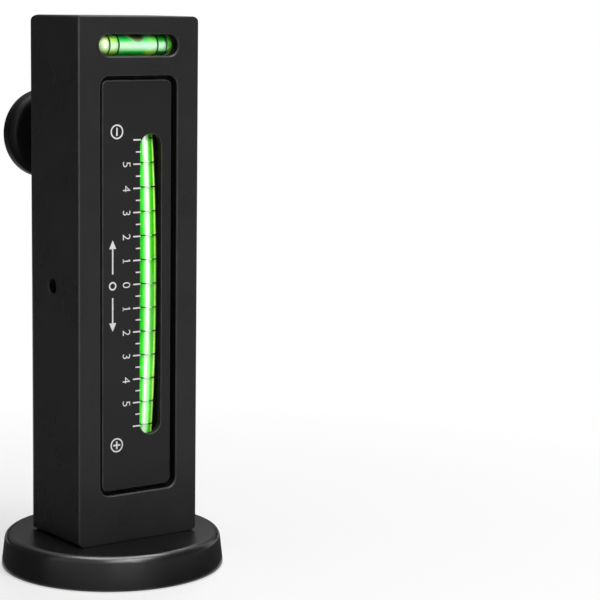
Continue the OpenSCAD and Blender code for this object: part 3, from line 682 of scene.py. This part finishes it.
def prism(outline, y0, y1):
    """Verts and faces of a flat outline of (x, z) points, pushed along Y."""
    n = len(outline)
    verts = [(x * MM, y * MM, z * MM) for y in (y0, y1) for x, z in outline]
    faces = [tuple(range(n)), tuple(reversed(range(n, 2 * n)))]
    faces += [(i, i + n, (i + 1) % n + n, (i + 1) % n) for i in range(n)]
    return verts, faces


def join_parts(name, parts, material, body):
    """One mesh of several parts, each given by its verts and faces."""
    verts, faces = [], []
    for v, f in parts:
        base = len(verts)
        verts += v
        faces += [tuple(i + base for i in face) for face in f]
    ob = add_mesh(name, verts, faces, material, body, smooth=False)
    face_outwards(ob.data)
    return ob


def bar(u0, u1, z, thick):
    """A printed bar from u0 to u1, measured from the block's left edge, at a height above its foot."""
    x0, x1 = BLOCK_LEFT + u0, BLOCK_LEFT + u1
    z0, z1 = FOOT + z - thick / 2, FOOT + z + thick / 2
    return prism([(x0, z0), (x1, z0), (x1, z1), (x0, z1)], PLATE_Y - PRINT_T, PLATE_Y + PRINT_SINK)


def post(u, z0, z1, thick):
    """A printed upright from z0 to z1 above the block's foot, about u."""
    x0, x1 = BLOCK_LEFT + u - thick / 2, BLOCK_LEFT + u + thick / 2
    return prism([(x0, FOOT + z0), (x1, FOOT + z0), (x1, FOOT + z1), (x0, FOOT + z1)],
                 PLATE_Y - PRINT_T, PLATE_Y + PRINT_SINK)


def ring_parts(u, z, outer, inner):
    """A printed ring about u and z, as short pieces."""
    steps = 48
    parts = []
    for i in range(steps):
        a, b = 2 * math.pi * i / steps, 2 * math.pi * (i + 1) / steps
        parts.append(prism([
            (BLOCK_LEFT + u + inner * math.cos(a), FOOT + z + inner * math.sin(a)),
            (BLOCK_LEFT + u + outer * math.cos(a), FOOT + z + outer * math.sin(a)),
            (BLOCK_LEFT + u + outer * math.cos(b), FOOT + z + outer * math.sin(b)),
            (BLOCK_LEFT + u + inner * math.cos(b), FOOT + z + inner * math.sin(b))],
            PLATE_Y - PRINT_T, PLATE_Y + PRINT_SINK))
    return parts


ticks = []
for half_degree in range(-12, 13):
    z = ZERO + half_degree * DEGREE / 2
    if half_degree % 2 == 0:
        ticks.append(bar(LONG_TICK, TICK_END, z, LONG_TICK_T))
    else:
        ticks.append(bar(SHORT_TICK, TICK_END, z, SHORT_TICK_T))
join_parts("scale_ticks", ticks, MARK, "block")


def digit(text, u0, u1, z):
    """A digit turned a quarter turn clockwise, its foot at u0 and its head at u1, its middle at z."""
    curve = bpy.data.curves.new("digit", "FONT")
    curve.body = text
    curve.size = 1
    curve.offset = DIGIT_WEIGHT
    curve.extrude = 0
    curve.resolution_u = 6
    temp = bpy.data.objects.new("digit", curve)
    bpy.context.scene.collection.objects.link(temp)
    bpy.context.view_layer.update()
    evaluated = temp.evaluated_get(bpy.context.evaluated_depsgraph_get())
    flat = evaluated.to_mesh()
    co = np.array([v.co[:2] for v in flat.vertices])
    polys = [tuple(p.vertices) for p in flat.polygons]
    low, high = co.min(0), co.max(0)
    scale = (u1 - u0) / (high[1] - low[1])
    mid = (low[0] + high[0]) / 2
    verts = [
        ((BLOCK_LEFT + u0 + (y - low[1]) * scale) * MM, (PLATE_Y - PRINT_T) * MM,
         (FOOT + z - (x - mid) * scale * DIGIT_WIDTH) * MM)
        for x, y in co
    ]
    evaluated.to_mesh_clear()
    bpy.data.objects.remove(temp)
    bpy.data.curves.remove(curve)
    return verts, polys


# The font's 1 has no foot, so it is built of a bar with a foot and a flag.
digits = []
ones = []
for n in range(-5, 6):
    z = ZERO + n * DEGREE
    if abs(n) == 1:
        ones.append(bar(DIGIT_U0, DIGIT_U1, z, 0.34))
        ones.append(post(DIGIT_U0 + 0.12, z - 0.58, z + 0.58, 0.24))
        ones.append(post(DIGIT_U1 - 0.35, z + 0.1, z + 0.5, 0.26))
    else:
        digits.append(digit(str(abs(n)), DIGIT_U0, DIGIT_U1, z))
join_parts("scale_ones", ones, MARK, "block")
numbers = join_parts("scale_numbers", digits, MARK, "block")
depth = numbers.modifiers.new("depth", "SOLIDIFY")
depth.thickness = PRINT_T * MM
depth.offset = -1

# A circled minus above the scale and a circled plus below it, turned as the digits are.
signs = []
for z, plus in ((119.4, False), (28.7, True)):
    signs += ring_parts(SIGN_U, z, SIGN_R, SIGN_R - SIGN_T)
    signs.append(post(SIGN_U, z - 1.15, z + 1.15, 0.5))
    if plus:
        signs.append(bar(SIGN_U - 1.15, SIGN_U - 0.25, z, 0.5))
        signs.append(bar(SIGN_U + 0.25, SIGN_U + 1.15, z, 0.5))
# An arrow each way from a small ring beside the zero.
for way in (1, -1):
    signs.append(post(ARROW_U, *sorted((ZERO + way * 3.4, ZERO + way * 10.8)), 0.45))
    tip = ZERO + way * 13.2
    signs.append(prism(
        [(BLOCK_LEFT + ARROW_U, FOOT + tip), (BLOCK_LEFT + ARROW_U + 1.15, FOOT + tip - way * 2.5),
         (BLOCK_LEFT + ARROW_U - 1.15, FOOT + tip - way * 2.5)],
        PLATE_Y - PRINT_T, PLATE_Y + PRINT_SINK))
signs += ring_parts(ARROW_U, ZERO, 1.25, 0.8)
join_parts("scale_signs", signs, MARK, "block")

# Ticks on the carrier's back beside the caster vial, one pair for each degree of caster.
CARRIER_Y = 10.5
CASTER_DEGREE = 3.104
# How far from the middle they start and end, and half their thickness.
CARRIER_TICK_START, CARRIER_TICK_LONG, CARRIER_TICK_SHORT = 3.8, 5.6, 4.9
CARRIER_TICK_HALF = 0.17
carrier_ticks = []
for n in range(-6, 7):
    z = CASTER.z + n * CASTER_DEGREE
    reach = CARRIER_TICK_LONG if n % 2 == 0 else CARRIER_TICK_SHORT
    low, high = z - CARRIER_TICK_HALF, z + CARRIER_TICK_HALF
    for side in (-1, 1):
        x0, x1 = sorted((side * CARRIER_TICK_START, side * reach))
        carrier_ticks.append(prism(
            [(x0, low), (x1, low), (x1, high), (x0, high)],
            CARRIER_Y - PRINT_SINK, CARRIER_Y + PRINT_T))
join_parts("carrier_ticks", carrier_ticks, MARK, "carrier")

# ---- studio ----

# The background's strength as it is seen, and the world's as it lights the object.
WHITE = 1.0
AMBIENT = 0.16


def seen_directly(nt):
    """1 for camera, glossy and transmission rays, which see the background."""
    path = nt.nodes.new("ShaderNodeLightPath")
    background = maths(nt, "MAXIMUM", path.outputs["Is Camera Ray"], path.outputs["Is Glossy Ray"])
    return maths(nt, "MAXIMUM", background, path.outputs["Is Transmission Ray"])


def make_world():
    world = bpy.data.worlds.new("studio")
    bpy.context.scene.world = world
    world.use_nodes = True
    nt = world.node_tree
    nt.nodes.clear()
    out = nt.nodes.new("ShaderNodeOutputWorld")
    back = nt.nodes.new("ShaderNodeBackground")
    back.inputs["Color"].default_value = (1, 1, 1, 1)
    nt.links.new(spread(nt, seen_directly(nt), AMBIENT, WHITE, 0, 1), back.inputs["Strength"])
    nt.links.new(back.outputs[0], out.inputs["Surface"])


def make_floor():
    """A pale floor that keeps the object's shadow near it and turns white further out."""
    bpy.ops.mesh.primitive_circle_add(
        vertices=96, radius=6.0, fill_type="NGON", location=(0, 0, -0.0002))
    floor = bpy.context.object
    floor.name = "floor"
    m, nt, p = new_material("floor", (0.86, 0.86, 0.86), 0.9, Specular_IOR_Level=0.0)
    out = nt.nodes["Material Output"]
    glow = nt.nodes.new("ShaderNodeEmission")
    glow.inputs["Color"].default_value = (1, 1, 1, 1)
    glow.inputs["Strength"].default_value = WHITE
    where, _ = coordinates(nt)
    far = spread(nt, vector_maths(nt, "LENGTH", where), 0.55, 1.0, 0.05, 0.25)
    mix = nt.nodes.new("ShaderNodeMixShader")
    nt.links.new(times(nt, far, seen_directly(nt)), mix.inputs[0])
    nt.links.new(p.outputs[0], mix.inputs[1])
    nt.links.new(glow.outputs[0], mix.inputs[2])
    nt.links.new(mix.outputs[0], out.inputs["Surface"])
    floor.data.materials.append(m)


def area_light(name, azimuth, distance, z, width, height, power, aim=(0, 0, 0.085)):
    """A rectangular lamp. Azimuth is in degrees from the scale side towards -X."""
    a = math.radians(azimuth)
    data = bpy.data.lights.new(name, "AREA")
    data.shape = "RECTANGLE"
    data.size, data.size_y = width, height
    data.energy = power
    lamp = bpy.data.objects.new(name, data)
    bpy.context.scene.collection.objects.link(lamp)
    lamp.location = (-distance * math.sin(a), -distance * math.cos(a), z)
    way = Vector(aim) - lamp.location
    lamp.rotation_mode = "QUATERNION"
    lamp.rotation_quaternion = way.to_track_quat("-Z", "Y")


def card(name, corners, strength, faces=((0, 1, 2, 3),)):
    """A studio card that only reflections see: bright as a window, or dark as a flag."""
    mesh = bpy.data.meshes.new(name)
    mesh.from_pydata(corners, [], faces)
    ob = bpy.data.objects.new(name, mesh)
    bpy.context.scene.collection.objects.link(ob)
    m = bpy.data.materials.new(name)
    m.use_nodes = True
    nt = m.node_tree
    nt.nodes.clear()
    glow = nt.nodes.new("ShaderNodeEmission")
    glow.inputs["Strength"].default_value = strength
    out = nt.nodes.new("ShaderNodeOutputMaterial")
    nt.links.new(glow.outputs[0], out.inputs["Surface"])
    mesh.materials.append(m)
    ob.visible_camera = ob.visible_diffuse = ob.visible_shadow = ob.visible_transmission = False


def around(azimuth, distance, z):
    """A place round the object, by an azimuth as area_light has it."""
    a = math.radians(azimuth)
    return (-distance * math.sin(a), -distance * math.cos(a), z)


def upright_card(name, az0, az1, distance, z0, z1, strength):
    card(name, [around(az0, distance, z0), around(az1, distance, z0),
                around(az1, distance, z1), around(az0, distance, z1)], strength)


def floor_card(name, az0, az1, near, far, strength):
    card(name, [around(az0, near, 0.001), around(az1, near, 0.001),
                around(az1, far, 0.001), around(az0, far, 0.001)], strength)


def foot_flag(name, near, far, strength):
    """A dark ring on the floor round the base."""
    steps = 48
    turns = [360 * i / steps for i in range(steps)]
    corners = [around(t, near, 0.0005) for t in turns] + [around(t, far, 0.0005) for t in turns]
    card(name, corners, strength, grid_faces(2, steps, True))


make_world()
make_floor()
area_light("soft_front", -2, 0.36, 0.42, 0.25, 0.25, 1.5, aim=(0, 0, 0.13))
area_light("soft_top", 0, 0.1, 1.0, 0.4, 0.3, 3.0, aim=(0, 0, 0))
area_light("soft_back", 225, 0.7, 0.6, 0.4, 0.4, 2.5)
upright_card("window", -1, 36, 0.6, 0.17, 0.9, 8)
floor_card("window_foot", 0, 34, 0.30, 4.0, 5)
card("overhead", [(-0.5, -0.35, 0.95), (0.5, -0.35, 0.95), (0.5, 0.2, 0.95), (-0.5, 0.2, 0.95)], 11)
foot_flag("flag_foot", 0.034, 0.115, 0.06)
upright_card("flag_right", -85, -15, 0.9, 0.0, 0.9, 0.15)
upright_card("flag_side", 100, 165, 0.9, 0.0, 0.9, 0.1)
floor_card("flag_side_foot", 100, 165, 0.116, 0.9, 0.1)
upright_card("flag_back_low", 165, 255, 0.9, 0.0, 0.19, 0.03)
upright_card("flag_back", 165, 255, 0.9, 0.19, 0.7, 0.3)

bpy.context.scene.view_settings.view_transform = "Standard"
